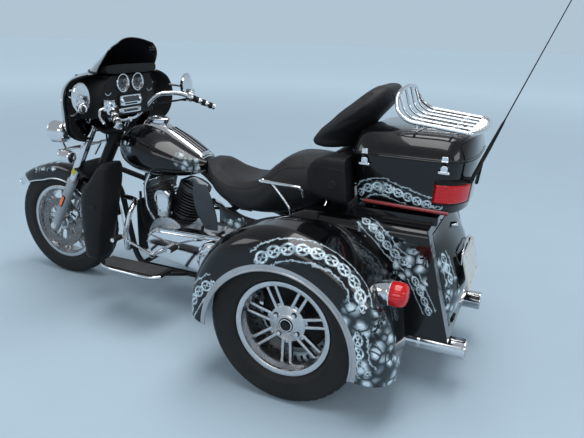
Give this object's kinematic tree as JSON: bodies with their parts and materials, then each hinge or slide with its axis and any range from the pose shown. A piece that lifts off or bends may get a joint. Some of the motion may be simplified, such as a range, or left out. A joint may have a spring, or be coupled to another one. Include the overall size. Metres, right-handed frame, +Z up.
{
  "type": "motorized trike",
  "caption": "Touring three-wheeled motorcycle with fork fairing, V-twin engine, two-up seat, cargo body, top trunk, luggage rack and whip antenna.",
  "frame": {"origin": "on the floor at the centre of the outline", "axes": "+X forward, +Y to the rider's left, +Z up"},
  "size_m": [2.9691, 1.39, 1.8048],
  "materials": {
    "gloss_black": "gloss black paint with airbrushed artwork",
    "chrome": "polished chrome plate",
    "satin_black": "satin black powder coat",
    "silver_paint": "satin silver paint",
    "polished_alloy": "polished cast alloy",
    "alloy_fins": "cast alloy with bright fin edges",
    "black_plastic": "fine-textured black moulding",
    "grey_plastic": "satin dark grey moulding",
    "leather": "stitched black seat cover",
    "tyre": "moulded tread rubber",
    "board_rubber": "ribbed black rubber",
    "red_lens": "moulded red lens in a bright housing",
    "plate_white": "blank white plate",
    "smoked": "dark smoked screen",
    "mirror": "mirror glass in a black housing",
    "mast": "black coated mast"
  },
  "bodies": {
    "chassis": {"frame": "satin_black", "rear_axle": "satin_black", "engine_case": "polished_alloy", "cylinders": "alloy_fins", "primary_cover": "chrome", "air_cleaner": "chrome", "exhaust": "chrome", "fuel_tank": "gloss_black", "tank_console": "chrome", "seat": "leather", "grab_rails": "chrome", "side_covers": "gloss_black", "air_deflectors": "grey_plastic", "lower_fairings": "black_plastic", "engine_guard": "chrome", "floorboards": "board_rubber", "foot_controls": "chrome", "rear_body": "gloss_black", "rear_fenders": "gloss_black", "rear_lamps": "red_lens", "trunk_box": "gloss_black", "lower_backrest": "leather", "speaker_pods": "black_plastic", "trunk_latches": "chrome", "trunk_lamps": "red_lens", "antenna": "mast"},
    "fork": {"fork": "silver_paint", "brake_calipers": "chrome", "front_fender": "gloss_black", "fairing_shell": "gloss_black", "fairing_dash": "black_plastic", "windshield": "smoked", "front_lamps": "chrome", "handlebar": "chrome", "hand_controls": "black_plastic", "mirrors": "mirror"},
    "front_wheel": {"front_tyre": "tyre", "front_rim": "polished_alloy"},
    "left_wheel": {"left_tyre": "tyre", "left_rim": "polished_alloy"},
    "right_wheel": {"right_tyre": "tyre", "right_rim": "polished_alloy"},
    "lid": {"trunk_lid": "gloss_black", "luggage_rack": "chrome", "upper_backrest": "leather"},
    "cargo_door": {"cargo_door": "gloss_black", "number_plate": "plate_white"},
    "fuel_door": {"fuel_door": "chrome"}
  },
  "joints": [
    {"name": "steering", "type": "hinge", "parent": "chassis", "child": "fork", "pos_m": [1.0693, 0, 0.28564], "axis": [-0.4848, 0, 0.8746], "range_deg": [-30, 30]},
    {"name": "front_wheel_spin", "type": "hinge", "parent": "fork", "child": "front_wheel", "pos_m": [1.1349, 0, 0.322], "axis": [0, 1, 0], "continuous": true},
    {"name": "left_wheel_spin", "type": "hinge", "parent": "chassis", "child": "left_wheel", "pos_m": [-0.5571, 0.555, 0.324], "axis": [0, 1, 0], "continuous": true},
    {"name": "right_wheel_spin", "type": "hinge", "parent": "chassis", "child": "right_wheel", "pos_m": [-0.5571, -0.555, 0.324], "axis": [0, 1, 0], "continuous": true},
    {"name": "trunk_lid_hinge", "type": "hinge", "parent": "chassis", "child": "lid", "pos_m": [-0.8911, -0.303, 0.979], "axis": [1, 0, 0], "range_deg": [0, 85]},
    {"name": "cargo_door_hinge", "type": "hinge", "parent": "chassis", "child": "cargo_door", "pos_m": [-1.14539, 0, 0.30504], "axis": [0, -1, 0], "range_deg": [0, 90]},
    {"name": "fuel_door_hinge", "type": "hinge", "parent": "chassis", "child": "fuel_door", "pos_m": [0.45981, -0.048, 0.98091], "axis": [0.9877, 0, 0.1564], "range_deg": [0, 100]}
  ]
}
